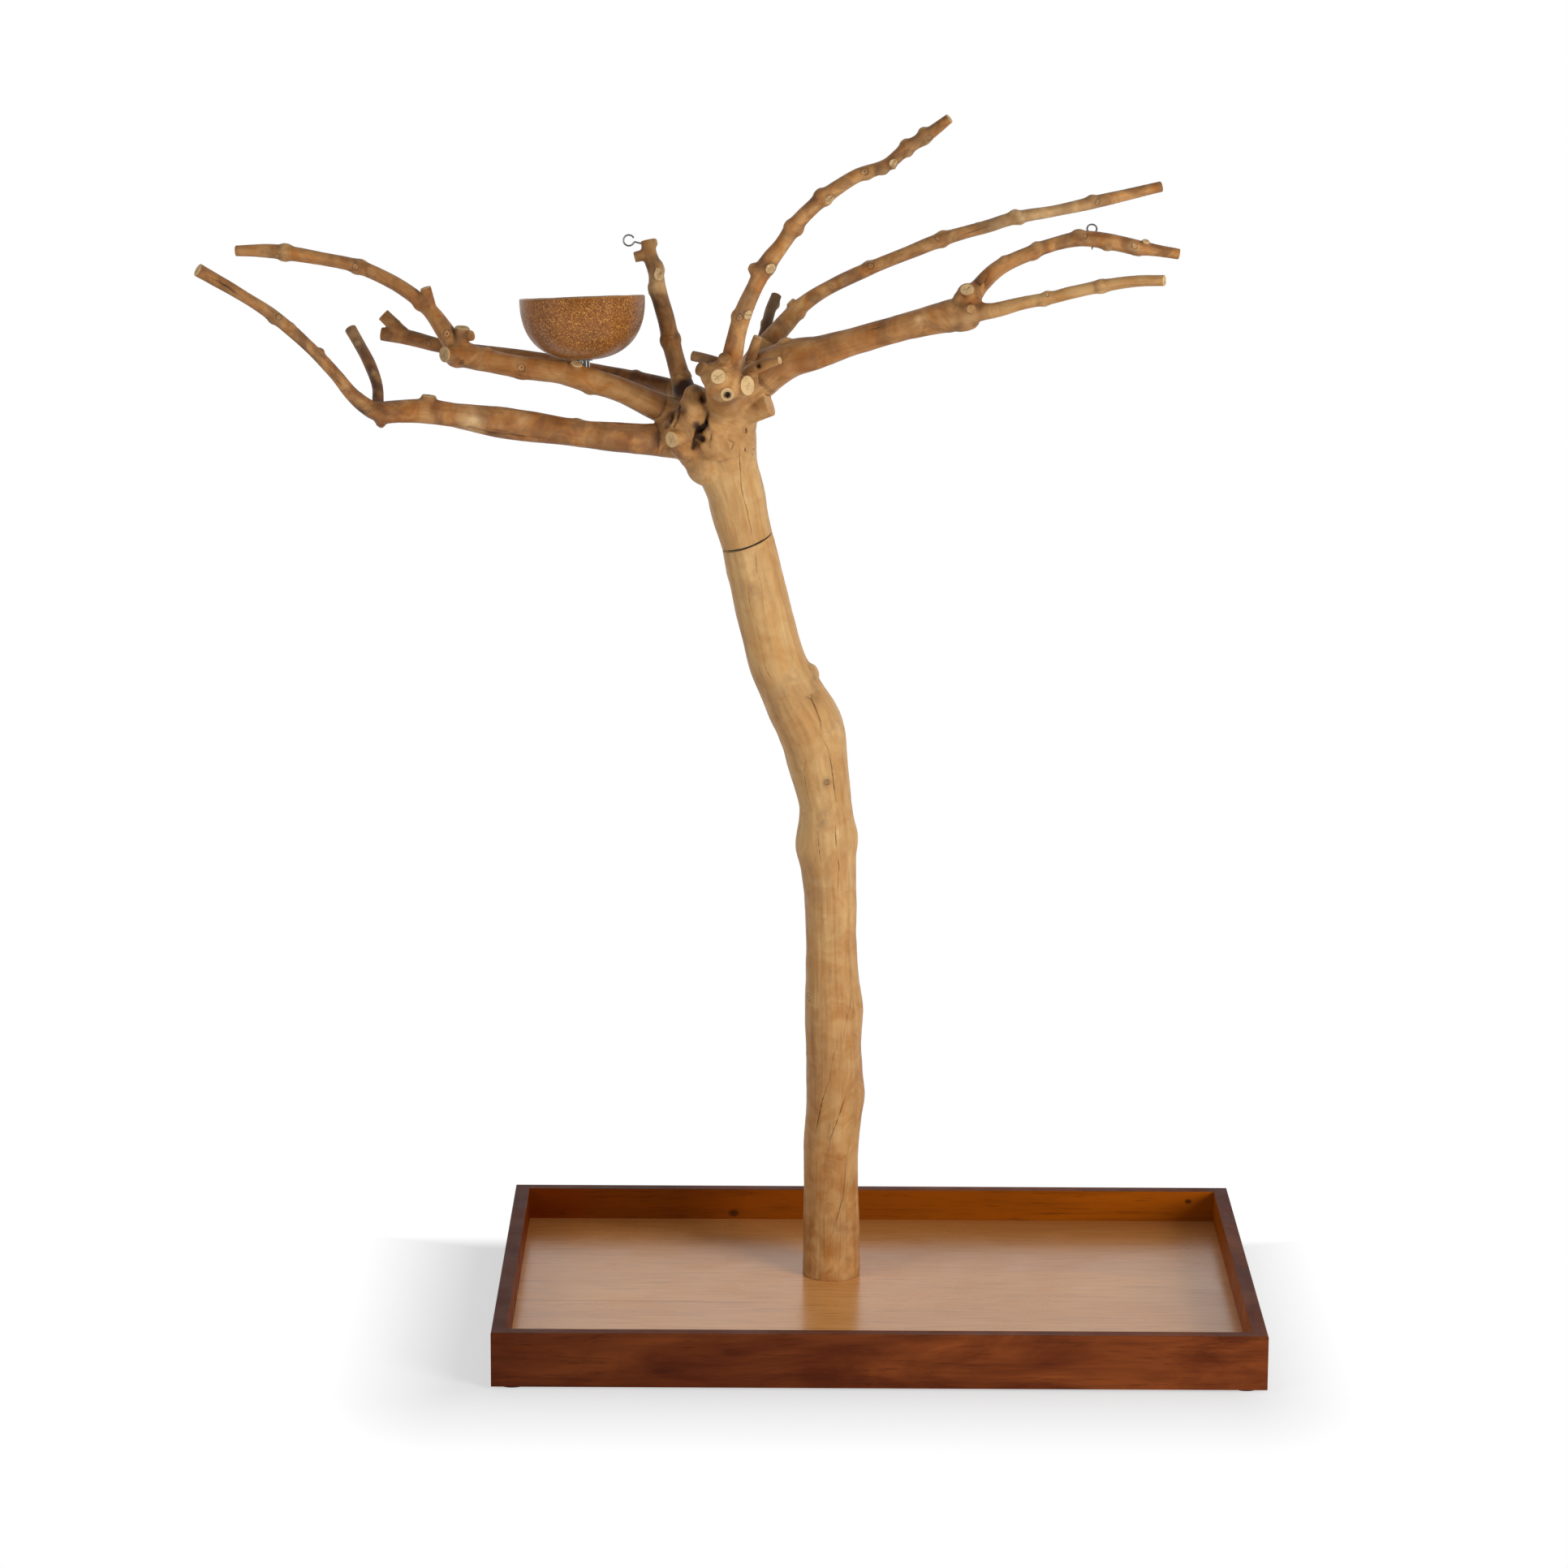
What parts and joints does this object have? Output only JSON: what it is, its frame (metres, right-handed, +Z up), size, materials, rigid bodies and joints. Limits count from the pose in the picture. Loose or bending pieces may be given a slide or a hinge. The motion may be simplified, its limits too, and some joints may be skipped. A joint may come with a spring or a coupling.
{
  "type": "parrot play stand",
  "caption": "Free-standing play tree for parrots: a debarked branching trunk with climbing perches and a food bowl, on a shallow wooden tray.",
  "frame": {"origin": "middle of the tray's footprint, on the surface that the stand rests on", "axes": "+X to the right along the tray's long side, +Y away from the front, +Z up"},
  "size_m": [1.0451, 0.508, 1.2372],
  "materials": {
    "rail_stain": "dark reddish-brown stain under satin varnish, amber on the inner faces",
    "floor_wood": "satin varnished tan board with fine grain",
    "hidden_wood": "plain sawn softwood",
    "trunk_wood": "smooth debarked hardwood, golden tan",
    "limb_wood": "smooth debarked hardwood, warm brown",
    "rear_wood": "weathered debarked hardwood, dark purple-brown",
    "bowl_shell": "polished speckled nut shell, satin",
    "bright_metal": "bright nickel plate",
    "plain_steel": "zinc plated",
    "insert_brass": "plain turned brass",
    "pad_rubber": "matt black"
  },
  "bodies": {
    "stand": {"rail_front": "rail_stain", "rail_right": "rail_stain", "rail_back": "rail_stain", "rail_left": "rail_stain", "rail_nails": "plain_steel", "corner_blocks": "hidden_wood", "foot_pads": "pad_rubber", "tray_floor": "floor_wood", "trunk_cleat": "hidden_wood", "cleat_screws": "plain_steel", "trunk_bolt": "plain_steel", "trunk_bolt_washer": "plain_steel", "foot_insert": "insert_brass", "trunk_screws": "plain_steel", "lower_trunk": "trunk_wood", "crown_rod": "plain_steel", "trunk_rod_insert": "insert_brass"},
    "joint_ring": {"joint_washer": "plain_steel"},
    "crown": {"crown_hub": "trunk_wood", "crown_rod_insert": "insert_brass", "limb_right_main": "limb_wood", "arm_right_upper": "limb_wood", "arm_right_lower": "limb_wood", "limb_right_outer": "limb_wood", "front_knuckle": "trunk_wood", "limb_tall": "limb_wood", "twig_knuckle": "rear_wood", "limb_lower_left": "limb_wood", "arm_lower_left": "limb_wood", "twig_lower_left": "rear_wood", "limb_bowl": "limb_wood", "twig_upper_left": "limb_wood", "limb_back_left": "rear_wood", "limb_hook": "limb_wood", "twig_rear": "rear_wood", "stub_short": "rear_wood", "stub_split": "rear_wood", "limb_dowels": "plain_steel", "twig_dowels": "plain_steel", "bowl_stud": "plain_steel", "bowl_collar": "bright_metal", "screw_eye_left": "bright_metal", "screw_eye_right": "bright_metal"},
    "bowl_ring": {"bowl_washer": "plain_steel"},
    "food_bowl": {"bowl": "bowl_shell", "bowl_insert": "insert_brass"}
  },
  "joints": [
    {"name": "crown_rise", "type": "slide", "parent": "stand", "child": "joint_ring", "axis": [-0.3398, -0.1146, 0.9335], "range_m": [0, 0.03]},
    {"name": "crown_turn", "type": "hinge", "parent": "joint_ring", "child": "crown", "pos_m": [-0.1345, 0.0245, 0.797], "axis": [-0.3398, -0.1146, 0.9335], "range_deg": [0, 6120]},
    {"name": "bowl_rise", "type": "slide", "parent": "crown", "child": "bowl_ring", "axis": [-0.0433, 0.1131, 0.9926], "range_m": [0, 0.0091]},
    {"name": "bowl_turn", "type": "hinge", "parent": "bowl_ring", "child": "food_bowl", "pos_m": [-0.29599, 0.01438, 0.98041], "axis": [-0.0433, 0.1131, 0.9926], "range_deg": [0, 3240]}
  ],
  "couplings": [
    {"joint": "crown_rise", "follows": "crown_turn", "m_per_rad": 0.00027852},
    {"joint": "bowl_rise", "follows": "bowl_turn", "m_per_rad": 0.00015915}
  ]
}
